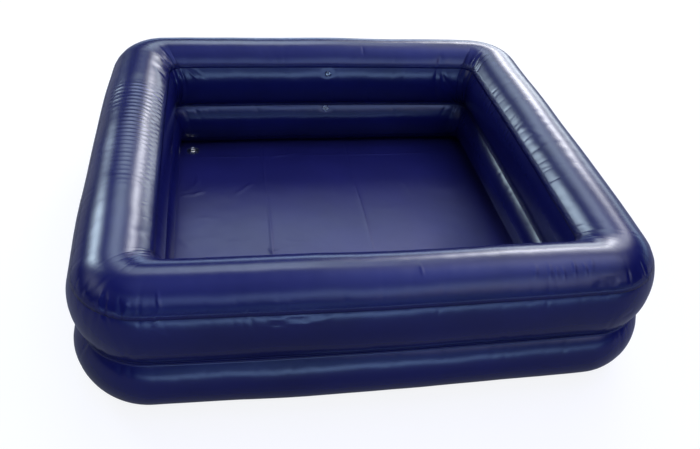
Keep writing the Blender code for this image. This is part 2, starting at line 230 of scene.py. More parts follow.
def growMesh(name, tree, values):
    # Runs the tree once with these values and keeps what it makes as a plain mesh.
    holder = bpy.data.objects.new(name, bpy.data.meshes.new(name))
    modifier = holder.modifiers.new(tree.name, "NODES")
    modifier.node_group = tree
    for item in tree.interface.items_tree:
        if item.in_out == "INPUT" and item.name in values:
            modifier[item.identifier] = values[item.name]
    collection.objects.link(holder)
    graph = bpy.context.evaluated_depsgraph_get()
    settled = holder.evaluated_get(graph)
    mesh = bpy.data.meshes.new_from_object(settled, preserve_all_data_layers=True, depsgraph=graph)
    mesh.name = name
    bpy.data.objects.remove(holder)
    return mesh


# Materials. Navy vinyl is soft-glossy film with a fine grain, cloudy colour and ribbed welds.
navyVinyl = {
    "deep": (0.0058, 0.0064, 0.066),
    "bright": (0.0084, 0.0094, 0.092),
    "cloudScale": 5.0,
    "cloudLow": 0.3,
    "cloudGain": 2.5,
    "roughness": (0.19, 0.27),
    "roughnessScale": 1.7,   # of the scale of the cockles
    "specular": 0.50,
    "tint": (0.86, 0.90, 1.0, 1.0),
    "grainScale": 900.0,
    "grainHeight": 0.00004,
    "cockleScale": 38.0,
    "cockleHeight": 0.00012,
    "weldPitch": 0.0024,
    "weldHeight": 0.00025,
}
floorVinyl = dict(
    navyVinyl,
    deep=(0.0180, 0.0170, 0.105),
    bright=(0.0240, 0.0225, 0.135),
    roughness=(0.34, 0.42),
    cockleScale=16.0,
    cockleHeight=0.00045,
)
clearVinyl = {
    "colour": (0.86, 0.88, 0.94, 1.0),
    "roughness": (0.05, 0.14),
    "transmission": 0.96,
    "ior": 1.5,
    "grainScale": 600.0,
    "grainHeight": 0.00003,
}


def startMaterial(name):
    material = bpy.data.materials.new(name)
    material.use_nodes = True
    tree = material.node_tree
    place = tree.nodes.new("ShaderNodeTexCoord").outputs["Object"]
    return material, tree, tree.nodes["Principled BSDF"], place


def noise(tree, place, scale, detail=2.0):
    node = addNode(tree, "ShaderNodeTexNoise", {"Vector": place, "Scale": scale, "Detail": detail})
    return Field(tree, node.outputs[0])


def bump(tree, height, distance, below=None):
    node = addNode(tree, "ShaderNodeBump", {"Height": height, "Distance": distance, "Strength": 1.0})
    if below:
        tree.links.new(below, node.inputs["Normal"])
    return node.outputs["Normal"]


def blendColours(tree, share, first, second):
    ramp = tree.nodes.new("ShaderNodeValToRGB")
    ramp.color_ramp.elements[0].color = (*first, 1.0)
    ramp.color_ramp.elements[1].color = (*second, 1.0)
    plug(tree, share, ramp.inputs["Fac"])
    return ramp.outputs["Color"]


def attribute(tree, name):
    return Field(tree, addNode(tree, "ShaderNodeAttribute", attribute_name=name).outputs["Fac"])


def roughen(tree, place, scale, detail, limits, shader):
    low, high = limits
    plug(tree, noise(tree, place, scale, detail) * (high - low) + low, shader.inputs["Roughness"])


def paintVinyl(name, look):
    material, tree, shader, place = startMaterial(name)
    clouds = noise(tree, place, look["cloudScale"], 4.0)
    clouds = (clouds - look["cloudLow"]) * look["cloudGain"]
    colour = blendColours(tree, clouds, look["deep"], look["bright"])
    tree.links.new(colour, shader.inputs["Base Color"])
    roughen(tree, place, look["cockleScale"] * look["roughnessScale"], 3.0, look["roughness"], shader)
    shader.inputs["Specular IOR Level"].default_value = look["specular"]
    shader.inputs["Specular Tint"].default_value = look["tint"]
    cockle = bump(tree, noise(tree, place, look["cockleScale"], 3.0), look["cockleHeight"])
    grain = bump(tree, noise(tree, place, look["grainScale"], 1.0), look["grainHeight"], cockle)
    ribs = (attribute(tree, "loop") * (2 * math.pi / look["weldPitch"])).does("SINE")
    ribs = ribs * attribute(tree, "weld")
    tree.links.new(bump(tree, ribs, look["weldHeight"], grain), shader.inputs["Normal"])
    return material


def paintClear(name, look):
    material, tree, shader, place = startMaterial(name)
    shader.inputs["Base Color"].default_value = look["colour"]
    shader.inputs["Transmission Weight"].default_value = look["transmission"]
    shader.inputs["IOR"].default_value = look["ior"]
    roughen(tree, place, look["grainScale"] / 4, 2.0, look["roughness"], shader)
    grain = bump(tree, noise(tree, place, look["grainScale"], 1.0), look["grainHeight"])
    tree.links.new(grain, shader.inputs["Normal"])
    return material


navy = paintVinyl("softNavyVinyl", navyVinyl)
navyFloor = paintVinyl("creasedNavyFloorVinyl", floorVinyl)
clear = paintClear("clearMouldedVinyl", clearVinyl)
print("materials made")


# The rule of every chamber wall: a rounded rectangle is carried round the chamber's section.
sheetNumbers = (
    "Centre half X", "Centre half Y", "Half width", "Rise", "Drop", "Centre height",
    "Tube width", "Inner corner", "Outer corner", "Start angle", "End angle",
    "Start reach", "End reach", "Start share", "End share", "Pool half X", "Pool half Y", "Side bow",
)
arcShare = 0.22   # of each quarter turn's points, those that lie on the corner


def makeSheetTree():
    tree, given = newTree("inflatedSheet", sheetNumbers, ("Around", "Rows"))
    tube = addNode(tree, "GeometryNodeMeshCylinder", {
        "Vertices": given["Around"], "Side Segments": given["Rows"], "Radius": 1.0, "Depth": 1.0,
    }, fill_type="NONE")
    x, y, z = splitVector(tree, tree.nodes.new("GeometryNodeInputPosition").outputs[0])

    turns = (y.does("ARCTAN2", x) / quarter).does("FLOORED_MODULO", 4.0)
    corner = turns.does("FLOOR")
    arcPart = (turns.does("FRACT") / arcShare).does("MINIMUM", 1.0)
    sidePart = ((turns.does("FRACT") - arcShare) / (1 - arcShare)).does("MAXIMUM", 0.0)
    heading = (corner + arcPart) * quarter

    across = z + 0.5
    span = -(given["Start share"] + given["End share"]) + 1.0
    walk = ((across - given["Start share"]) / span).clamped()
    section = given["Start angle"].mixed(given["End angle"], walk)
    startPart = -(across / given["Start share"]).clamped() + 1.0
    endPart = ((across + given["End share"] - 1.0) / given["End share"]).clamped()
    offset = given["Half width"] * section.does("COSINE")
    offset = offset + given["Start reach"] * startPart + given["End reach"] * endPart
    lift = section.does("SINE")
    height = given["Centre height"] + lift.does("MAXIMUM", 0.0) * given["Rise"]
    height = height + lift.does("MINIMUM", 0.0) * given["Drop"]

    outwards = (offset / given["Tube width"] + 0.5).does("MAXIMUM", 0.0)
    radius = given["Inner corner"].mixed(given["Outer corner"], outwards * outwards)
    flat = []
    for axis, wave in (("X", "COSINE"), ("Y", "SINE")):
        room = given["Centre half " + axis] + offset - radius
        this = ((corner + 0.5) * quarter).does(wave)
        following = ((corner + 1.5) * quarter).does(wave)
        flat.append(this.mixed(following, sidePart) * math.sqrt(2) * room + radius * heading.does(wave))

    grown = []
    for mine, other, myAxis, otherAxis in ((0, 1, "X", "Y"), (1, 0, "Y", "X")):
        share = flat[other] / given["Pool half " + otherAxis]
        swell = given["Side bow"] / given["Pool half " + myAxis] * (-(share * share) + 1.0)
        grown.append(flat[mine] * (swell + 1.0))

    place = addNode(tree, "ShaderNodeCombineXYZ", {"X": grown[0], "Y": grown[1], "Z": height})
    geometry = tube.outputs["Mesh"]
    for label, field in (("turns", turns), ("section", section)):
        kept = addNode(tree, "GeometryNodeStoreNamedAttribute", data_type="FLOAT", domain="POINT")
        for socket, value in (("Geometry", geometry), ("Name", label), ("Value", field)):
            plug(tree, value, kept.inputs[socket])
        geometry = kept.outputs[0]
    moved = addNode(tree, "GeometryNodeSetPosition", {"Geometry": geometry, "Position": place.outputs[0]})
    endTree(tree, moved.outputs[0], given["Material"])
    return tree


# Where each sheet starts and ends round its chamber, and how far its welded edges reach out
sheetGrid = {"crown": (2040, 23), "wall": (1600, 28), "web": (800, 6), "edgeRows": 2}
halfLap = pool["seamLap"] / pool["tubeWidth"]
seams = (pool["seamAngle"], math.pi - pool["seamAngle"])
overUpper = dict(upper, **{key: upper[key] + layer for key in ("Half width", "Rise")})
fin = pool["waistFin"]
lap = pool["baseLap"]
wallSheets = {
    "crown_sheet": ("top_panel", overUpper, (seams[0] - halfLap, 0.0), (seams[1] + halfLap, 0.0)),
    "upper_outer_sheet": ("upper_outer_wall", upper, (-upperWaist, fin), (seams[0] + halfLap, 0.0)),
    "upper_inner_sheet": (
        "upper_inner_wall", upper, (seams[1] - halfLap, 0.0), (math.pi + upperWaist, -fin)),
    "lower_outer_sheet": ("lower_outer_wall", lower, (-groundAngle, -lap), (lowerWaist, fin)),
    "lower_inner_sheet": (
        "lower_inner_wall", lower, (math.pi - lowerWaist, -fin), (math.pi + groundAngle, lap)),
}
webSheet = {
    "Half width": pool["webWidth"] / 2 + fin, "Rise": 0.0, "Drop": 0.0,
    "Centre height": webHeight,
}


def growSheet(name, tree, chamber, start, end, around, rows):
    values = dict(chamber)
    values.update({
        "Around": around, "Rows": rows, "Material": navy,
        "Centre half X": centreHalf[0], "Centre half Y": centreHalf[1],
        "Tube width": pool["tubeWidth"],
        "Inner corner": pool["innerCorner"], "Outer corner": pool["outerCorner"],
        "Pool half X": pool["width"] / 2, "Pool half Y": pool["depth"] / 2, "Side bow": pool["sideBow"],
    })
    for label, (angle, reach) in (("Start", start), ("End", end)):
        values[label + " angle"] = angle
        values[label + " reach"] = reach
        values[label + " share"] = sheetGrid["edgeRows"] / rows if reach else 0.0
    return growMesh(name, tree, values)


# Distance round the pool, by the share of each quarter turn, and the middle of each side
loopRule = {"cornerRadius": 0.15}
cornerRun = loopRule["cornerRadius"] * quarter
sideRuns = [2 * (half - loopRule["cornerRadius"]) for half in (centreHalf * 2)]
quarterStarts = np.concatenate(([0.0], np.cumsum([cornerRun + run for run in sideRuns])))
loopLength = quarterStarts[-1]
sideNumbers = {"rear": 0, "left": 1, "front": 2, "right": 3}


def loopPlace(turns):
    corner = np.minimum(np.floor(turns).astype(int), 3)
    part = turns - corner
    along = cornerRun * np.minimum(part / arcShare, 1.0)
    along += np.array(sideRuns)[corner] * np.maximum((part - arcShare) / (1 - arcShare), 0.0)
    return quarterStarts[corner] + along


def readAttribute(mesh, name):
    values = np.empty(len(mesh.vertices))
    mesh.attributes[name].data.foreach_get("value", values)
    return values


def writeAttribute(mesh, name, values):
    kept = mesh.attributes.get(name) or mesh.attributes.new(name, "FLOAT", "POINT")
    kept.data.foreach_set("value", np.asarray(values, np.float32))


def readPoints(mesh):
    place = np.empty(len(mesh.vertices) * 3)
    mesh.vertices.foreach_get("co", place)
    outward = np.empty(len(mesh.vertices) * 3)
    mesh.vertex_normals.foreach_get("vector", outward)
    return place.reshape(-1, 3), outward.reshape(-1, 3)


def writePoints(mesh, place):
    mesh.vertices.foreach_set("co", np.asarray(place, np.float32).ravel())
    mesh.update()


def bell(distance, width):
    return np.exp(-(distance / width) ** 2)


def fade(value, low, high):
    share = np.clip((value - low) / (high - low), 0.0, 1.0)
    return share * share * (3 - 2 * share)


def softNoise(place, size, seed):
    # Smooth random swell with features of about this size
    rng = np.random.default_rng(seed)
    total = np.zeros(len(place))
    waves = 10
    for _ in range(waves):
        direction = rng.normal(size=3)
        direction *= rng.uniform(0.6, 1.3) * 2 * math.pi / size / np.linalg.norm(direction)
        total += np.sin(place @ direction + rng.uniform(0, 2 * math.pi))
    return total / math.sqrt(waves / 2)


# Slow swells that keep the highlights from running dead straight
swells = (
    {"size": 0.34, "height": 0.0008, "seed": 11},
    {"size": 0.13, "height": 0.00018, "seed": 12},
    {"size": 0.045, "height": 0.00005, "seed": 13},
)

# Short folds that run off each seam, where flat film is gathered into a curve
foldKeys = ("chamber", "angle", "count", "length", "width", "height",
            "slant", "clear", "seed", "weldRise", "weldReach")
seamFolds = (
    ("upper", seams[0], 210, (0.012, 0.050), (0.0030, 0.0075), (0.0002, 0.0009),
     0.25, 0.0, 21, -0.0011, 0.006),
    ("upper", seams[1], 200, (0.015, 0.060), (0.0030, 0.0080), (0.0002, 0.0010),
     0.20, 0.0, 22, 0.0016, 0.007),
    ("upper", -upperWaist, 230, (0.015, 0.060), (0.0035, 0.0080), (0.0003, 0.0013),
     0.15, 0.010, 23, 0.0, 0.006),
    ("upper", math.pi + upperWaist, 210, (0.015, 0.070), (0.0035, 0.0080), (0.0003, 0.0014),
     0.15, 0.010, 24, 0.0, 0.006),
    ("lower", lowerWaist, 230, (0.015, 0.055), (0.0035, 0.0080), (0.0003, 0.0013),
     0.15, 0.010, 25, 0.0, 0.006),
    ("lower", math.pi - lowerWaist, 210, (0.015, 0.060), (0.0035, 0.0080), (0.0003, 0.0014),
     0.15, 0.010, 26, 0.0, 0.006),
)
foldRule = {
    "cornerGain": 2.2,   # how much deeper the folds are at the corners
    "farSide": 0.35,     # what is left of a fold across the seam from its own side
    "widths": 3,         # how far off a fold still counts
}
meanReach = {
    name: (chamber["Half width"] + chamber["Rise"]) / 2
    for name, chamber in (("upper", upper), ("lower", lower))
}


def runOfFolds(folds, turns, girth):
    # girth is the distance from the seam, across the section.
    rng = np.random.default_rng(folds["seed"])
    loop = loopPlace(turns)
    height = np.zeros(len(loop))
    for _ in range(folds["count"]):
        middle = rng.uniform(0, 4)
        at = float(loopPlace(np.array([middle]))[0])
        length, width, depth = (rng.uniform(*folds[key]) for key in ("length", "width", "height"))
        slant = rng.normal(0, folds["slant"])
        side = rng.choice((-1, 1))
        if middle % 1 < arcShare:
            depth *= foldRule["cornerGain"]
        away = (loop - at - slant * girth + loopLength / 2) % loopLength - loopLength / 2
        near = np.abs(away) < foldRule["widths"] * width
        reach = np.abs(girth[near])
        hold = np.where(girth[near] * side > 0, 1.0, foldRule["farSide"])
        height[near] -= depth * hold * bell(away[near], width) * np.exp(-reach / length)
    return height * (1 - bell(girth, folds["clear"])) if folds["clear"] else height


# Ripples that cross a tube, on one stretch of one side, with angles in degrees round the section
rippleKeys = ("side", "from", "to", "pitch", "height", "angle", "spread", "tilt", "sharpness", "seed")
sideRipples = (
    ("left", -0.30, 0.33, 0.0213, 0.00058, 99, 14, 0.0, 2.0, 31),
    ("left", -0.30, 0.36, 0.0235, 0.00045, 132, 14, 0.08, 2.0, 32),
    ("left", 0.08, 0.34, 0.0260, 0.00035, 66, 12, -0.05, 2.0, 33),
    ("left", -0.50, 0.50, 0.0900, 0.00022, 95, 45, 0.10, 1.0, 34),
    ("right", -0.30, 0.50, 0.0500, 0.00010, 100, 40, -0.2, 1.0, 35),
    ("rear", -0.55, 0.55, 0.0600, 0.00008, 90, 40, 0.1, 1.0, 36),
    ("front", -0.55, 0.60, 0.0560, 0.00010, 80, 40, -0.1, 1.0, 37),
)
rippleRule = {
    "waves": 3,
    "waveRate": (5, 16),
    "start": (0, 6.3),
    "wander": 0.8,
    "swell": (0.65, 0.35),
    "swellRate": 11,
    "fadeIn": 0.10,
    "fadeOut": 0.06,
    "level": 0.4,
}


def rippleHeight(ripple, place, turns, section):
    ripple = dict(zip(rippleKeys, ripple))
    rng = np.random.default_rng(ripple["seed"])
    number = sideNumbers[ripple["side"]]
    axis = 0 if ripple["side"] in ("rear", "front") else 1
    along = place[:, axis]
    here = (turns >= number) & (turns < number + 1)
    girth = (section - math.radians(ripple["angle"])) * meanReach["upper"]
    rule = rippleRule
    wander = sum(
        np.sin(along * rng.uniform(*rule["waveRate"]) + rng.uniform(*rule["start"]))
        for _ in range(rule["waves"])
    )
    phase = 2 * math.pi * (along + ripple["tilt"] * girth) / ripple["pitch"] + rule["wander"] * wander
    ridge = ((1 + np.sin(phase)) / 2) ** ripple["sharpness"]
    level, share = rule["swell"]
    swell = level + share * np.sin(along * rule["swellRate"] + rng.uniform(*rule["start"]))
    window = fade(along, ripple["from"], ripple["from"] + rule["fadeIn"])
    window = window * (1 - fade(along, ripple["to"] - rule["fadeOut"], ripple["to"]))
    window = window * bell(np.degrees(section) - ripple["angle"], ripple["spread"])
    return here * 2 * ripple["height"] * (ridge - rule["level"]) * swell * window


# Folds that fan out from each inner corner, where the crown is drawn together
cornerFans = {
    "count": 9,
    "height": (0.0006, 0.0026),
    "width": (0.0035, 0.009),
    "fromAngle": (96, 118),
    "seed": 41,
    "gains": (1.0, 1.0, 0.22, 0.22),   # rear right, rear left, front left, front right
    "spread": (-0.35, 1.35),           # of the corner's own turn
    "lean": 0.0006,
    "leanFrom": 140,
    "reach": 0.12,                     # in quarter turns
    "squeeze": 0.55,
    "riseOver": 35,
}


def fanHeight(place, turns, section):
    rng = np.random.default_rng(cornerFans["seed"])
    height = np.zeros(len(place))
    degrees = np.degrees(section)
    for corner in range(4):
        for _ in range(cornerFans["count"]):
            middle = corner + arcShare * rng.uniform(*cornerFans["spread"])
            depth = rng.uniform(*cornerFans["height"])
            width = rng.uniform(*cornerFans["width"])
            begins = rng.uniform(*cornerFans["fromAngle"])
            lean = rng.normal(0, cornerFans["lean"])
            away = (turns - middle - lean * (degrees - cornerFans["leanFrom"]) + 2) % 4 - 2
            near = np.abs(away) < cornerFans["reach"]
            metres = away[near] * cornerRun / arcShare * cornerFans["squeeze"]
            rise = fade(degrees[near], begins, begins + cornerFans["riseOver"])
            height[near] -= cornerFans["gains"][corner] * depth * bell(metres, width) * rise
    return height


# Creases read off the photograph: each is a line through its pixels, with width and height in metres
photoCreases = (
    ((101, 294), (100, 300), (98, 303), 0.0050, 0.0030),
    ((99, 307), (99, 313), 0.0040, 0.0022),
    ((107, 302), (110, 306), 0.0035, 0.0020),
    ((112, 306), (117, 308), 0.0035, 0.0020),
    ((124, 304), (128, 308), (127, 311), 0.0042, 0.0026),
    ((122, 316), (127, 314), 0.0035, 0.0022),
    ((104, 296), (106, 306), (103, 314), 0.0040, -0.0020),
    ((118, 300), (121, 310), (119, 316), 0.0040, -0.0018),
    ((69, 277), (71, 284), 0.0035, 0.0016),
    ((76, 288), (80, 293), 0.0035, 0.0016),
    ((84, 293), (88, 291), (90, 288), 0.0030, 0.0014),
    ((158, 293), (158, 300), (159, 309), 0.0035, 0.0018),
    ((159, 314), (157, 319), (152, 325), 0.0035, 0.0018),
    ((150, 313), (158, 312), (168, 313), 0.0030, 0.0012),
    ((157, 335), (163, 336), (171, 338), 0.0030, 0.0012),
    ((272, 309), (281, 304), (288, 306), (296, 309), 0.0035, 0.0014),
    ((283, 309), (287, 304), (300, 303), 0.0030, -0.0010),
    ((268, 319), (285, 322), (305, 324), (322, 321), (335, 316), 0.0040, 0.0013),
    ((270, 325), (290, 321), (312, 319), 0.0045, -0.0014),
    ((266, 328), (280, 330), (294, 329), 0.0035, 0.0011),
    ((247, 316), (252, 319), (250, 323), 0.0030, -0.0010),
    ((75, 327), (100, 349), (112, 354), (141, 353), (162, 347), 0.0035, 0.0008),
    ((420, 264), (422, 270), (423, 276), 0.0030, 0.0010),
    ((537, 268), (536, 272), (534, 277), 0.0032, 0.0014),
    ((551, 267), (549, 277), 0.0032, 0.0013),
    ((557, 269), (557, 276), 0.0030, 0.0012),
    ((563, 269), (565, 277), 0.0030, 0.0013),
    ((574, 262), (575, 268), (575, 275), 0.0032, 0.0014),
    ((584, 264), (586, 269), (588, 274), 0.0030, 0.0012),
    ((593, 259), (592, 265), (590, 271), 0.0032, 0.0014),
    ((592, 287), (602, 284), (612, 281), (621, 277), (630, 272), 0.0055, -0.0026),
    ((629, 272), (630, 279), (632, 285), 0.0045, -0.0022),
    ((642, 262), (645, 270), (648, 280), 0.0050, -0.0024),
    ((600, 295), (612, 289), (618, 283), 0.0045, -0.0016),
    ((559, 320), (566, 317), (572, 312), 0.0032, 0.0012),
    ((620, 318), (628, 314), (634, 309), 0.0040, -0.0014),
    ((154, 55), (164, 60), (176, 66), 0.0040, 0.0022),
    ((158, 68), (168, 66), (180, 65), 0.0050, 0.0020),
    ((165, 56), (172, 62), (180, 68), 0.0035, -0.0022),
    ((184, 66), (190, 72), (198, 80), 0.0035, 0.0016),
    ((190, 67), (198, 72), (206, 78), 0.0035, -0.0012),
    ((180, 69), (184, 78), (186, 88), 0.0045, -0.0020),
    ((182, 105), (188, 103), (196, 105), 0.0045, 0.0020),
    ((180, 108), (186, 107), (192, 110), 0.0040, -0.0016),
    ((461, 104), (456, 92), (446, 80), (438, 71), 0.0045, -0.0018),
    ((458, 103), (448, 92), (436, 84), 0.0035, 0.0012),
    ((463, 104), (470, 92), (476, 80), 0.0045, -0.0016),
    ((362, 46), (363, 50), (364, 56), 0.0035, -0.0010),
    ((512, 99), (520, 100), (529, 101), 0.0035, 0.0010),
    ((516, 127), (520, 129), (525, 132), 0.0035, 0.0010),
    ((531, 130), (537, 133), (544, 136), 0.0035, 0.0010),
)


creaseRule = {"widths": 4, "margin": 0.01, "endPower": 4}


def lineHeight(points, width, height, place, outward):
    # A fold along a line of points, which fades at both ends
    total = np.zeros(len(place))
    for index, (start, end) in enumerate(zip(points, points[1:])):
        run = end - start
        limit = np.linalg.norm(run) / 2 + creaseRule["widths"] * width + creaseRule["margin"]
        near = np.flatnonzero(np.linalg.norm(place - (start + end) / 2, axis=1) < limit)
        gap = place[near] - start
        share = np.clip(gap @ run / (run @ run), 0.0, 1.0)
        gap = gap - share[:, None] * run
        gap = gap - np.sum(gap * outward[near], axis=1)[:, None] * outward[near]
        walk = (index + share) / (len(points) - 1)
        strength = bell(np.linalg.norm(gap, axis=1), width)
        strength = strength * (1 - (2 * walk - 1) ** creaseRule["endPower"])
        total[near] = np.maximum(total[near], strength)
    return height * total


# Creases of the floor, read in the same way: fine crumples beside the drain and short ones along the folds
floorCreases = (
    ((190, 172), (190, 180), (192, 190), 0.0050, -0.0030),
    ((193, 187), (197, 184), (200, 179), 0.0045, 0.0022),
    ((193, 196), (198, 193), (204, 192), 0.0050, 0.0028),
    ((180, 190), (185, 192), (190, 190), 0.0045, 0.0020),
    ((183, 177), (180, 184), (178, 192), 0.0045, 0.0020),
    ((196, 172), (198, 177), (197, 184), 0.0045, 0.0018),
    ((182, 197), (188, 194), (192, 197), 0.0045, 0.0018),
    ((236, 195), (245, 188), (257, 181), 0.0050, 0.0022),
    ((240, 188), (250, 183), (262, 180), 0.0050, -0.0012),
    ((257, 152), (263, 146), (270, 141), 0.0050, 0.0014),
    ((268, 160), (276, 156), (292, 154), (306, 152), 0.0060, 0.0018),
    ((272, 159), (284, 158), (298, 157), 0.0060, -0.0014),
    ((330, 147), (343, 149), (352, 152), 0.0050, 0.0014),
    ((284, 240), (296, 243), (309, 242), 0.0050, 0.0012),
    ((283, 248), (300, 246), (322, 249), 0.0045, 0.0010),
    ((179, 240), (185, 244), (190, 248), 0.0050, 0.0016),
    ((228, 243), (236, 241), (242, 244), 0.0045, 0.0010),
    ((268, 249), (273, 252), (280, 251), 0.0050, 0.0028),
    ((536, 229), (540, 235), (545, 242), 0.0045, 0.0016),
    ((400, 180), (406, 186), (411, 194), 0.0050, 0.0008),
)


def placedLines(creases):
    lines = []
    for *pixels, width, height in creases:
        spots = [seenAt(pixel) for pixel in pixels]
        if all(spot is not None for spot in spots):
            lines.append((spots, width, height))
    print("creases placed:", len(lines), "of", len(creases))
    return lines


creaseLines = placedLines(photoCreases)
floorLines = placedLines(floorCreases)


dressing = {"seamReach": 0.02, "edgeFade": 0.012}   # metres across the sheet


def dressSheet(mesh, chamberName, start, end):
    # Gives a clean sheet its swells, seams and folds, and notes where it is welded.
    place, outward = readPoints(mesh)
    turns = readAttribute(mesh, "turns")
    section = readAttribute(mesh, "section")
    reach = meanReach[chamberName]
    height = sum(s["height"] * softNoise(place, s["size"], s["seed"]) for s in swells)
    weld = np.zeros(len(place))
    for row in seamFolds:
        folds = dict(zip(foldKeys, row))
        girth = (section - folds["angle"]) * reach
        if folds["chamber"] != chamberName or np.abs(girth).min() > dressing["seamReach"]:
            continue
        height += runOfFolds(folds, turns, girth)
        weld = np.maximum(weld, np.abs(girth) < pool["seamLap"] / 2)
        height += folds["weldRise"] * np.exp(-np.abs(girth) / folds["weldReach"])
    if chamberName == "upper":
        height += fanHeight(place, turns, section)
        height += sum(rippleHeight(ripple, place, turns, section) for ripple in sideRipples)
    for points, width, depth in creaseLines:
        height += lineHeight(points, width, depth, place, outward)
    for angle, edgeReach in (start, end):
        if edgeReach:
            height *= 1 - bell((section - angle) * reach, dressing["edgeFade"])
    writeAttribute(mesh, "loop", loopPlace(turns))
    writeAttribute(mesh, "weld", weld)
    writePoints(mesh, place + outward * height[:, None])


def showPiece(name, mesh, body, replaced, material=None):
    piece = bpy.data.objects.new(name, mesh)
    if material:
        mesh.materials.clear()
        mesh.materials.append(material)
    collection.objects.link(piece)
    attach(piece, body)
    if replaced:
        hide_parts(*replaced)
    return piece


def thicken(piece, side=0.0):
    film = piece.modifiers.new("film", "SOLIDIFY")
    film.thickness = pool["sheet"]
    film.offset = side


# Valves and drain sit where the frame says.
def seatOf(valve):
    joints = {joint["name"]: joint for joint in frame["joints"]}
    out = Vector(joints[valve + "_valve_pop_out"]["axis"]).normalized()
    along = Vector(joints[valve + "_valve_flap_swing"]["axis"]).normalized()
    low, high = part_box(valve + "_valve_flange")
    centre = (low + high) / 2 + out * (layer + valveParts["flangeThickness"]) / 2
    centre = centre + out * pool["clearance"] / 2
    return Matrix.Translation(centre) @ Matrix((along, out.cross(along), out)).transposed().to_4x4()


valveParts = {
    "holeRadius": 0.0105,
    "flangeRadius": 0.0140,
    "flangeThickness": 0.0010,
    "flatRadius": 0.0165,
    "blendRadius": 0.032,
}


def settleFlat(mesh, seat):
    # Presses the sheet onto the valve's plane round its hole.
    inverse = np.array(seat.inverted())
    forward = np.array(seat)
    place, _ = readPoints(mesh)
    local = place @ inverse[:3, :3].T + inverse[:3, 3]
    away = np.hypot(local[:, 0], local[:, 1])
    here = (away < valveParts["blendRadius"]) & (np.abs(local[:, 2]) < valveParts["blendRadius"])
    local[here, 2] *= fade(away[here], valveParts["flatRadius"], valveParts["blendRadius"])
    writePoints(mesh, local @ forward[:3, :3].T + forward[:3, 3])


holeRule = {"removed": 1.15, "rim": 1.12, "segments": 72}   # the first two in hole radii


def cutRoundHole(mesh, seat, radius):
    # Takes out the faces near the seat and joins the gap's edge to a true circle.
    bm = bmesh.new()
    bm.from_mesh(mesh)
    inverse = seat.inverted()

    def away(point):
        local = inverse @ point
        return local.xy.length if abs(local.z) < radius / 2 else math.inf

    own = {edge for edge in bm.edges if edge.is_boundary}
    limit = radius * holeRule["removed"]
    inside = [face for face in bm.faces if away(face.calc_center_median()) < limit]
    bmesh.ops.delete(bm, geom=inside, context="FACES")
    rim = [edge for edge in bm.edges if edge.is_boundary and edge not in own]
    around = {vert for edge in rim for vert in edge.verts}
    for vert in around:
        local = inverse @ vert.co
        outwards = max(1.0, radius * holeRule["rim"] / local.xy.length)
        vert.co = seat @ Vector((local.x * outwards, local.y * outwards, local.z))
    layers = bm.verts.layers.float
    known = [layers[name] for name in ("turns", "section", "loop", "weld") if name in layers]
    circle = bmesh.ops.create_circle(bm, segments=holeRule["segments"], radius=radius, matrix=seat)
    circle = circle["verts"]
    for vert in circle:
        nearest = min(around, key=lambda other: (other.co - vert.co).length_squared)
        for kept in known:
            vert[kept] = nearest[kept]
    ring = list({edge for vert in circle for edge in vert.link_edges})
    made = bmesh.ops.bridge_loops(bm, edges=rim + ring)["faces"]
    bm.normal_update()
    for face in made:
        face.smooth = True
        if face.normal.dot(seat.col[2].xyz) < 0:
            face.normal_flip()
    bm.to_mesh(mesh)
    bm.free()


tree = makeSheetTree()
valveWalls = {"upper_inner_sheet": "upper", "lower_inner_sheet": "lower"}
for name, (node, chamber, start, end) in wallSheets.items():
    grid = sheetGrid["crown" if name == "crown_sheet" else "wall"]
    mesh = growSheet(name, tree, chamber, start, end, *grid)
    dressSheet(mesh, "lower" if chamber is lower else "upper", start, end)
    if name in valveWalls:
        seat = seatOf(valveWalls[name])
        settleFlat(mesh, seat)
        cutRoundHole(mesh, seat, valveParts["holeRadius"])
    thicken(showPiece(name, mesh, "pool", [node]))
    print(name, "made with", len(mesh.vertices), "points")

mesh = growSheet("web_sheet", tree, webSheet, (0.0, 0.0), (math.pi, 0.0), *sheetGrid["web"])
thicken(showPiece("web_sheet", mesh, "pool", ["chamber_web"]))
print("web sheet made")


# The floor: one sheet, ridged where it was folded for its box
floorSheet = {
    "fineStep": 0.0028,
    "step": 0.0072,
    "foldsAlongDepth": (-0.232, 0.094),
    "foldsAlongWidth": (0.440,),
    "foldHalfWidth": 0.007,
    "foldHeight": 0.0024,
    "fineBand": 0.014,
    "wrinkles": 60,
    "wrinkleHeight": (0.0002, 0.0008),
    "wrinkleWidth": (0.003, 0.008),
    "wrinkleLength": (0.03, 0.14),
    "wrinkleArea": ((-0.52, -0.46), (0.52, 0.50)),
    "wrinkleBend": 0.3,
    "seed": 51,
    "freeHalf": (0.575, 0.540),   # past this the lower chamber holds the sheet flat
    "freeFade": 0.05,
    "wander": 0.0015,
    "wanderRate": (14, 40),       # along a fold, and from fold to fold
    "foldLevel": (0.7, 0.3),
    "levelRate": (11, 70),
    "foldFall": 1.8,
    "swells": ((0.0006, 0.24, 52), (0.00015, 0.07, 53)),   # height, size and seed
    "tiny": 1e-9,
}


def gridLines(half, folds):
    # Even lines, and closer ones beside each fold
    step = floorSheet["step"] * 1
    lines = list(np.linspace(-half, half, int(2 * half / step) + 1))
    band = floorSheet["fineBand"]
    for fold in folds:
        lines = [line for line in lines if abs(line - fold) > band]
        lines += list(np.linspace(fold - band, fold + band, int(2 * band / floorSheet["fineStep"]) + 1))
    return np.array(sorted(lines))


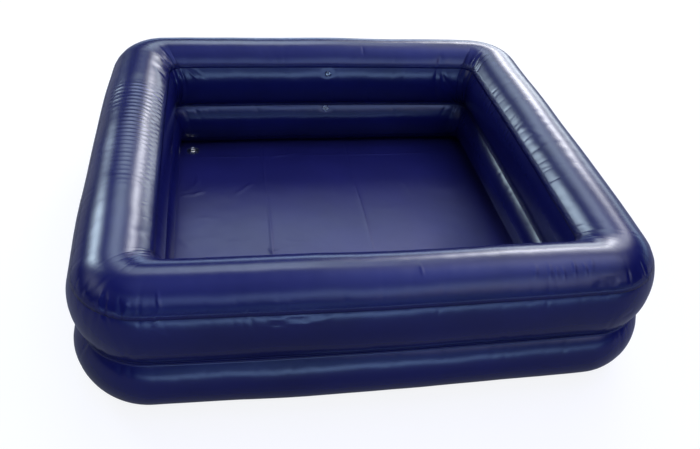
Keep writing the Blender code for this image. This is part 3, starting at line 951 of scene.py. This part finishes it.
def growFloor():
    halfX = centreHalf[0] + pool["groundStrip"] / 2
    halfY = centreHalf[1] + pool["groundStrip"] / 2
    outwards = pool["groundStrip"] / 2 / pool["tubeWidth"] + 0.5
    radius = pool["innerCorner"] + (pool["outerCorner"] - pool["innerCorner"]) * outwards ** 2
    xs = gridLines(halfX, floorSheet["foldsAlongDepth"])
    ys = gridLines(halfY, floorSheet["foldsAlongWidth"])
    x, y = (axis.ravel() for axis in np.meshgrid(xs, ys))
    # Each point is drawn in by as much as a rounded corner of its own ring needs.
    ring = np.maximum(np.abs(x) / halfX, np.abs(y) / halfY)
    corner = radius * ring
    overX = np.maximum(np.abs(x) - (halfX * ring - corner), 0.0)
    overY = np.maximum(np.abs(y) - (halfY * ring - corner), 0.0)
    length = np.hypot(overX, overY)
    largest = np.maximum(overX, overY)
    tiny = floorSheet["tiny"]
    shrink = np.where(length > tiny, largest / np.maximum(length, tiny), 1.0)
    x = np.sign(x) * (np.abs(x) - overX * (1 - shrink))
    y = np.sign(y) * (np.abs(y) - overY * (1 - shrink))
    poolX, poolY = pool["width"] / 2, pool["depth"] / 2
    grownX = x * (1 + pool["sideBow"] / poolX * (1 - (y / poolY) ** 2))
    grownY = y * (1 + pool["sideBow"] / poolY * (1 - (x / poolX) ** 2))
    height = floorRise(grownX, grownY)
    place = np.column_stack((grownX, grownY, height + pool["sheet"] / 2))
    across = len(xs)
    faces = [
        (row * across + i, row * across + i + 1, (row + 1) * across + i + 1, (row + 1) * across + i)
        for row in range(len(ys) - 1) for i in range(across - 1)
    ]
    mesh = bpy.data.meshes.new("floor_film")
    mesh.from_pydata(place.tolist(), [], faces)
    mesh.shade_smooth()
    writeAttribute(mesh, "loop", grownX)
    writeAttribute(mesh, "weld", np.zeros(len(place)))
    return mesh


def floorRise(x, y):
    f = floorSheet
    rng = np.random.default_rng(f["seed"])
    freeX, freeY = f["freeHalf"]
    free = fade(np.minimum(freeX - np.abs(x), freeY - np.abs(y)), 0.0, f["freeFade"])
    rise = np.zeros(len(x))
    wanderAlong, wanderShift = f["wanderRate"]
    levelAlong, levelShift = f["levelRate"]
    level, share = f["foldLevel"]
    for across, along, folds in ((x, y, f["foldsAlongDepth"]), (y, x, f["foldsAlongWidth"])):
        for fold in folds:
            wander = f["wander"] * np.sin(along * wanderAlong + fold * wanderShift)
            gap = np.abs(across - fold + wander) / f["foldHalfWidth"]
            swell = level + share * np.sin(along * levelAlong + fold * levelShift)
            rise += f["foldHeight"] * swell * np.exp(-f["foldFall"] * gap)
    for _ in range(f["wrinkles"]):
        at = rng.uniform(*f["wrinkleArea"])
        heading = rng.uniform(0, math.pi)
        along = (x - at[0]) * math.cos(heading) + (y - at[1]) * math.sin(heading)
        aside = (y - at[1]) * math.cos(heading) - (x - at[0]) * math.sin(heading)
        keys = ("wrinkleLength", "wrinkleWidth", "wrinkleHeight")
        length, width, top = (rng.uniform(*f[key]) for key in keys)
        bend = f["wrinkleBend"] * along ** 2 / length
        rise += top * bell(aside - bend, width) * bell(along, length / 2)
    flat = np.column_stack((x, y, np.zeros(len(x))))
    rise += sum(high * (1 + softNoise(flat, size, seed)) * 0.5 for high, size, seed in f["swells"])
    upwards = np.tile((0.0, 0.0, 1.0), (len(x), 1))
    for points, width, height in floorLines:
        rise += lineHeight([point * (1, 1, 0) for point in points], width, height, flat, upwards)
    return np.maximum(rise, 0.0) * free


floorMesh = growFloor()
drainLow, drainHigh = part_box("drain_fitting")
drainSeat = Matrix.Translation(((drainLow.x + drainHigh.x) / 2, (drainLow.y + drainHigh.y) / 2, drainLow.z))
drainParts = {"holeRadius": 0.0080, "flatRadius": 0.030, "blendRadius": 0.050}
floorPlace, _ = readPoints(floorMesh)
fromDrain = np.hypot(floorPlace[:, 0] - drainSeat.translation.x, floorPlace[:, 1] - drainSeat.translation.y)
flatness = fade(fromDrain, drainParts["flatRadius"], drainParts["blendRadius"])
floorPlace[:, 2] = pool["sheet"] / 2 + (floorPlace[:, 2] - pool["sheet"] / 2) * flatness
writePoints(floorMesh, floorPlace)
drainHole = Matrix.Translation((*drainSeat.translation.xy, pool["sheet"] / 2))
cutRoundHole(floorMesh, drainHole, drainParts["holeRadius"])
floorPiece = showPiece("floor_film", floorMesh, "pool", ["floor_sheet"], navyFloor)
thicken(floorPiece)
print("floor made with", len(floorMesh.vertices), "points")


# Clear moulded parts: each is turned round the axis of its valve or drain, with softened corners
turning = {"sides": 64, "cornerSteps": 4, "largestCut": 0.45, "onAxis": 1e-6}


def softened(outline, bevel):
    # Rounds the corners of a closed outline of (radius, height) points, but not those on the axis.
    smooth = []
    count = len(outline)
    for index, corner in enumerate(outline):
        before = Vector(outline[index - 1]) - Vector(corner)
        after = Vector(outline[(index + 1) % count]) - Vector(corner)
        if corner[0] < turning["onAxis"]:
            smooth.append(Vector(corner))
            continue
        first = Vector(corner) + before.normalized() * min(bevel, before.length * turning["largestCut"])
        last = Vector(corner) + after.normalized() * min(bevel, after.length * turning["largestCut"])
        for step in range(turning["cornerSteps"]):
            walk = step / (turning["cornerSteps"] - 1)
            leaving = first.lerp(Vector(corner), walk)
            smooth.append(leaving.lerp(Vector(corner).lerp(last, walk), walk))
    return smooth


def endMesh(bm, name):
    mesh = bpy.data.meshes.new(name)
    bm.to_mesh(mesh)
    bm.free()
    mesh.shade_smooth()
    return mesh


def turnedMesh(name, outline, bevel, extras=()):
    bm = bmesh.new()
    angles = [2 * math.pi * i / turning["sides"] for i in range(turning["sides"])]
    rings = []
    for radius, height in softened(outline, bevel):
        if radius < turning["onAxis"]:
            rings.append([bm.verts.new((0.0, 0.0, height))] * len(angles))
        else:
            rings.append([
                bm.verts.new((radius * math.cos(a), radius * math.sin(a), height)) for a in angles
            ])
    for ring, following in zip(rings, rings[1:] + rings[:1]):
        for i in range(len(angles)):
            corners = list(dict.fromkeys((ring[i - 1], ring[i], following[i], following[i - 1])))
            if len(corners) > 2:
                bm.faces.new(corners)
    bmesh.ops.recalc_face_normals(bm, faces=bm.faces)
    for extra in extras:
        bm.from_mesh(extra)
    return endMesh(bm, name)


beadGrid = {"Segments": 10, "Rings": 7}


def makeBeadTree():
    numbers = ("Ring radius", "Height", "Bead radius", "Bead stretch")
    tree, given = newTree("gripBeads", numbers, ("Count",))
    ring = addNode(tree, "GeometryNodeMeshCircle", {
        "Vertices": given["Count"], "Radius": given["Ring radius"],
    })
    bead = addNode(tree, "GeometryNodeMeshUVSphere", dict(beadGrid, Radius=given["Bead radius"]))
    size = addNode(tree, "ShaderNodeCombineXYZ", {"X": 1.0, "Y": 1.0, "Z": given["Bead stretch"]})
    beads = addNode(tree, "GeometryNodeInstanceOnPoints", {
        "Points": ring.outputs[0], "Instance": bead.outputs["Mesh"], "Scale": size.outputs[0],
    })
    lift = addNode(tree, "ShaderNodeCombineXYZ", {"X": 0.0, "Y": 0.0, "Z": given["Height"]})
    raised = addNode(tree, "GeometryNodeSetPosition", {
        "Geometry": beads.outputs[0], "Offset": lift.outputs[0],
    })
    endTree(tree, raised.outputs[0], given["Material"])
    return tree


beadTree = makeBeadTree()


def growBeads(name, count, ringRadius, height, beadRadius, stretch):
    return growMesh(name, beadTree, {
        "Count": count, "Ring radius": ringRadius, "Height": height,
        "Bead radius": beadRadius, "Bead stretch": stretch, "Material": clear,
    })


ringProfile = ((0.15, 0.0), (0.35, 1.0), (0.65, 1.0), (0.85, 0.0))   # share of a ring, and depth


def ribbed(start, stop, count, depth):
    # Points of a run of shallow rings between two (radius, height) points, cut in from its line
    run = Vector(stop) - Vector(start)
    inward = Vector((-run.y, run.x)).normalized() * depth
    points = []
    for ring in range(count):
        for share, level in ringProfile:
            points.append(tuple(Vector(start) + run * (ring + share) / count + inward * level))
    return points


ribbonRule = {"bendSteps": 13, "sides": 16, "flatness": (0.35, 0.7)}


def swelled(value, power):
    return math.copysign(abs(value) ** power, value)


def ribbonMesh(name, low, high, reach, width, thickness):
    # A soft strap that leaves at low, turns back at its reach and comes in over itself at high
    middle, bend = (low[1] + high[1]) / 2, (high[1] - low[1]) / 2
    path = [Vector((low[0], low[1])), Vector(((low[0] + reach) / 2, low[1]))]
    path += [Vector((reach + bend * math.cos(a), middle + bend * math.sin(a)))
             for a in np.linspace(-quarter, quarter, ribbonRule["bendSteps"])]
    path += [Vector(((high[0] + reach) / 2, high[1])), Vector((high[0], high[1]))]
    wide, thin = ribbonRule["flatness"]
    around = [(swelled(math.cos(a), wide), swelled(math.sin(a), thin))
              for a in np.linspace(0, 2 * math.pi, ribbonRule["sides"], endpoint=False)]
    bm = bmesh.new()
    rings = []
    for index, spot in enumerate(path):
        ahead = path[min(index + 1, len(path) - 1)] - path[max(index - 1, 0)]
        aside = Vector((-ahead.y, ahead.x)).normalized()
        rings.append([bm.verts.new((
            spot.x + aside.x * up * thickness / 2, across * width / 2, spot.y + aside.y * up * thickness / 2,
        )) for across, up in around])
    for ring, following in zip(rings, rings[1:]):
        for i in range(len(around)):
            bm.faces.new((ring[i - 1], ring[i], following[i], following[i - 1]))
    bm.faces.new(rings[0])
    bm.faces.new(rings[-1])
    bmesh.ops.recalc_face_normals(bm, faces=bm.faces)
    return endMesh(bm, name)


def showClear(mesh, seat, body, node):
    mesh.transform(seat)
    showPiece(mesh.name, mesh, body, [node], clear)


def showStopper(prefix, shape, outline, capRadius, seat):
    # A plug with grip beads round its cap
    beads = growBeads(prefix + "beads", shape["beads"], capRadius - shape["beadRadius"] / 2,
                      (shape["capBottom"] + shape["capTop"]) / 2, shape["beadRadius"], shape["beadStretch"])
    mesh = turnedMesh(prefix + "stopper", outline, shape["bevel"], [beads])
    showClear(mesh, seat, prefix + "plug", prefix + "plug")


def showRibbon(prefix, shape, seat, body):
    sizes = (shape[key] for key in ("strapLow", "strapHigh", "strapReach", "strapWidth", "strapThickness"))
    showClear(ribbonMesh(prefix + "ribbon", *sizes), seat, body, prefix + "strap")


# One inflation valve, in metres from the middle of its wall sheet, with heights out of the wall
valveShape = {
    "flangeTop": -0.00055, "flangeBottom": -0.00155, "flangeBore": 0.0068,
    "flangeRings": 4, "ringDepth": 0.00016, "ringsStart": 0.0098, "ringsInset": 0.0003,
    "boreRadius": 0.0042, "stemRadius": 0.0065, "stemBottom": -0.0160,
    "shoulderRadius": 0.0090, "shoulderTop": -0.0146,
    "lipRadius": 0.0085, "lipBottom": -0.00025, "lipTop": 0.00135, "skirtRings": 6, "skirtDepth": 0.00030,
    "flapRadius": 0.0056, "flapTop": -0.0163, "flapBottom": -0.0169,
    "flapCrest": 0.8, "flapFall": 0.0002, "flapDish": 0.0001,
    "shankRadius": 0.0039, "shankTip": 0.0034, "shankBottom": -0.00735,
    "shankRings": 3, "shankRingDepth": 0.0002, "shankPlain": 0.002,
    "capBottom": 0.00165, "capTop": 0.00325,
    "dishRadius": 0.0066, "dishDepth": 0.0006, "dishSlope": 0.0008, "hubRadius": 0.0018,
    "beads": 30, "beadRadius": 0.00032, "beadStretch": 2.0,
    "bevel": 0.0004, "ringBevel": 0.00008, "flapBevel": 0.00015,
    "strapReach": 0.0120, "strapWidth": 0.0032, "strapThickness": 0.0008,
    "strapLow": (0.0088, 0.00095), "strapHigh": (0.0088, 0.00245),
}


def makeValve(which):
    v = valveShape
    seat = seatOf(which)
    prefix = which + "_valve_"
    rim, low, high = valveParts["flangeRadius"], v["flangeBottom"], v["flangeTop"]
    outline = [(v["flangeBore"], low)]
    outline += ribbed((v["ringsStart"], low), (rim - v["ringsInset"], low), v["flangeRings"], v["ringDepth"])
    outline += [(rim, low), (rim, high), (v["flangeBore"], high)]
    showClear(turnedMesh(prefix + "ring", outline, v["ringBevel"]), seat, "pool", prefix + "flange")

    bore, stem, shoulder, lip = (v[key] for key in ("boreRadius", "stemRadius", "shoulderRadius", "lipRadius"))
    outline = [(bore, v["stemBottom"]), (shoulder, v["stemBottom"]),
               (shoulder, v["shoulderTop"]), (stem, v["shoulderTop"])]
    outline += ribbed((stem, v["shoulderTop"]), (stem, v["lipBottom"]), v["skirtRings"], v["skirtDepth"])
    outline += [(stem, v["lipBottom"]), (lip, v["lipBottom"]), (lip, v["lipTop"]), (bore, v["lipTop"])]
    showClear(turnedMesh(prefix + "tube", outline, v["bevel"]), seat, prefix + "stem", prefix + "stem")

    flap, top = v["flapRadius"], v["flapTop"]
    outline = [(0.0, v["flapBottom"]), (flap, v["flapBottom"]), (flap, top),
               (flap * v["flapCrest"], top - v["flapFall"]), (0.0, top - v["flapDish"])]
    showClear(turnedMesh(prefix + "leaf", outline, v["flapBevel"]), seat, prefix + "flap", prefix + "flap")

    tip, shank, dish, hub = (v[key] for key in ("shankTip", "shankRadius", "dishRadius", "hubRadius"))
    low, high, sunk = v["capBottom"], v["capTop"], v["capTop"] - v["dishDepth"]
    outline = [(0.0, v["shankBottom"]), (tip, v["shankBottom"])]
    outline += ribbed((tip, v["shankBottom"]), (shank, low - v["shankPlain"]),
                      v["shankRings"], v["shankRingDepth"])
    outline += [(shank, low), (lip, low), (lip, high), (dish, high), (dish - v["dishSlope"], sunk),
                (hub + v["dishSlope"], sunk), (hub, high), (0.0, high)]
    showStopper(prefix, v, outline, lip, seat)
    showRibbon(prefix, v, seat, prefix + "stem")


for which in ("upper", "lower"):
    makeValve(which)
print("valves made")


# The floor drain, in metres from the underside of its flange
drainShape = {
    "boreRadius": 0.0070, "flangeRadius": 0.0240, "flangeTop": 0.0010,
    "flangeRings": 6, "ringDepth": 0.00022, "ringsInset": 0.0004, "ringsOutset": 0.0008,
    "neckRadius": 0.0100, "neckTop": 0.0080,
    "shankRadius": 0.0067, "shankTip": 0.0062, "shankBottom": 0.0023,
    "shankRings": 2, "shankRingDepth": 0.0003, "shankPlain": 0.001,
    "capRadius": 0.0125, "capBottom": 0.0083, "capTop": 0.0103,
    "rimWidth": 0.0022, "dishStart": 0.0030, "dishEnd": 0.0010, "dishDepth": 0.0007,
    "knobRadius": 0.0040, "knobWaist": 0.0031, "knobTop": 0.0138, "waistRise": 0.0010, "knobHeight": 0.0012,
    "beads": 40, "beadRadius": 0.00040, "beadStretch": 2.0,
    "bevel": 0.0004, "ringBevel": 0.00025,
    "strapReach": 0.0180, "strapWidth": 0.0050, "strapThickness": 0.0008,
    "strapLow": (0.0103, 0.0017), "strapHigh": (0.0128, 0.0093),
}


def makeDrain():
    d = drainShape
    bore, rim, neck, flat = d["boreRadius"], d["flangeRadius"], d["neckRadius"], d["flangeTop"]
    outline = [(bore, 0.0), (rim, 0.0), (rim, flat)]
    outline += ribbed((rim - d["ringsInset"], flat), (neck + d["ringsOutset"], flat),
                      d["flangeRings"], d["ringDepth"])
    outline += [(neck, flat), (neck, d["neckTop"]), (bore, d["neckTop"])]
    showClear(turnedMesh("drain_ring", outline, d["ringBevel"]), drainSeat, "pool", "drain_fitting")

    tip, shank, cap = d["shankTip"], d["shankRadius"], d["capRadius"]
    low, high, sunk = d["capBottom"], d["capTop"], d["capTop"] - d["dishDepth"]
    knob, waist, top = d["knobRadius"], d["knobWaist"], d["knobTop"]
    outline = [(0.0, d["shankBottom"]), (tip, d["shankBottom"])]
    outline += ribbed((tip, d["shankBottom"]), (shank, low - d["shankPlain"]),
                      d["shankRings"], d["shankRingDepth"])
    outline += [(shank, low), (cap, low), (cap, high), (cap - d["rimWidth"], high),
                (cap - d["dishStart"], sunk), (knob + d["dishEnd"], sunk), (waist, high),
                (waist, high + d["waistRise"]), (knob, top - d["knobHeight"]), (knob, top), (0.0, top)]
    showStopper("drain_", d, outline, cap, drainSeat)
    showRibbon("drain_", d, drainSeat, "pool")


makeDrain()
print("drain made")


# The ground that the pool stands on, white where the camera looks
ground = {
    "size": 60.0,
    "colour": (0.20, 0.20, 0.21, 1.0),
    "glow": 0.86,
    "glossyShare": 0.10,
    "drop": 0.0006,
}


def addGround():
    half = ground["size"] / 2
    mesh = bpy.data.meshes.new("ground")
    corners = [(x * half, y * half, -ground["drop"]) for x, y in ((-1, -1), (1, -1), (1, 1), (-1, 1))]
    mesh.from_pydata(corners, [], [(0, 1, 2, 3)])
    material = bpy.data.materials.new("paleGround")
    material.use_nodes = True
    tree = material.node_tree
    tree.nodes.clear()
    matt = addNode(tree, "ShaderNodeBsdfDiffuse", {"Color": ground["colour"]})
    ray = tree.nodes.new("ShaderNodeLightPath")
    glossy = Field(tree, ray.outputs["Is Glossy Ray"]) * ground["glossyShare"]
    seen = Field(tree, ray.outputs["Is Camera Ray"]).does("MAXIMUM", glossy)
    seen = seen.does("MAXIMUM", Field(tree, ray.outputs["Is Transmission Ray"]))
    glow = addNode(tree, "ShaderNodeEmission", {
        "Color": (1.0, 1.0, 1.0, 1.0), "Strength": seen * ground["glow"],
    })
    both = addNode(tree, "ShaderNodeAddShader")
    tree.links.new(matt.outputs[0], both.inputs[0])
    tree.links.new(glow.outputs[0], both.inputs[1])
    tree.links.new(both.outputs[0], tree.nodes.new("ShaderNodeOutputMaterial").inputs["Surface"])
    mesh.materials.append(material)
    plane = bpy.data.objects.new("ground", mesh)
    collection.objects.link(plane)


# Studio light: a dim surround with soft panels, placed by azimuth from +Y towards +X and elevation
surround = {
    "colour": (0.30, 0.36, 0.52),
    "strength": 0.05,
}
panelKeys = ("azimuth", "elevation", "wide", "tall", "colour", "strength")
panels = {
    "rearRightLow": (32, 7, 13, 8, (0.92, 0.98, 1.0), 5.0),
    "rearRightMid": (27, 25.5, 9, 5.5, (0.98, 0.98, 1.0), 17.0),
    "rightLow": (58, 5, 18, 7, (0.55, 0.80, 1.0), 1.6),
    "rearLow": (6, 3, 17, 6, (0.56, 0.76, 1.0), 3.4),
    "rearRight": (40, 34, 10, 8, (0.96, 0.97, 1.0), 5.0),
    "rearHigh": (3, 49, 18, 5, (0.80, 0.90, 1.0), 6.5),
    "rear": (1, 37, 15, 6, (0.76, 0.92, 1.0), 4.8),
    "rearLeft": (-39, 27, 8, 9, (0.76, 0.93, 1.0), 16.0),
    "left": (-80, 32, 24, 12, (0.88, 0.95, 1.0), 1.4),
    "rightHigh": (60, 56, 34, 10, (0.80, 0.82, 1.0), 3.0),
    "high": (80, 68, 80, 12, (0.30, 0.38, 1.0), 2.4),
    "top": (0, 85, 400, 14, (0.35, 0.42, 1.0), 1.2),
    "frontLow": (173, 9, 26, 6, (0.44, 0.66, 1.0), 5.5),
    "front": (177, 27, 28, 6, (0.42, 0.72, 1.0), 0.8),
    "frontHigh": (173, 53, 40, 8, (0.46, 0.62, 1.0), 3.2),
    "frontRight": (143, 42, 16, 10, (0.78, 0.80, 1.0), 2.2),
}


def addSurround():
    world = bpy.data.worlds.new("studio")
    scene.world = world
    world.use_nodes = True
    tree = world.node_tree
    tree.nodes.clear()
    x, y, z = splitVector(tree, tree.nodes.new("ShaderNodeTexCoord").outputs["Generated"])
    azimuth = x.does("ARCTAN2", y)
    elevation = z.does("ARCSINE")
    channels = [Field(tree, addNode(tree, "ShaderNodeValue").outputs[0]) for _ in range(3)]
    for channel, share in zip(channels, surround["colour"]):
        channel.socket.default_value = share * surround["strength"]
    for row in panels.values():
        panel = dict(zip(panelKeys, row))
        turned = (azimuth - math.radians(panel["azimuth"])).does("WRAP", math.pi, -math.pi)
        sideways = turned / math.radians(panel["wide"])
        upwards = (elevation - math.radians(panel["elevation"])) / math.radians(panel["tall"])
        spread = (-(sideways * sideways + upwards * upwards)).does("EXPONENT")
        channels = [c + spread * (share * panel["strength"]) for c, share in zip(channels, panel["colour"])]
    colour = addNode(tree, "ShaderNodeCombineColor", dict(zip(("Red", "Green", "Blue"), channels)))
    light = addNode(tree, "ShaderNodeBackground", {"Color": colour.outputs[0], "Strength": 1.0})
    tree.links.new(light.outputs[0], tree.nodes.new("ShaderNodeOutputWorld").inputs["Surface"])


addGround()
addSurround()
scene.view_settings.view_transform = "Standard"
print("ground and light set")
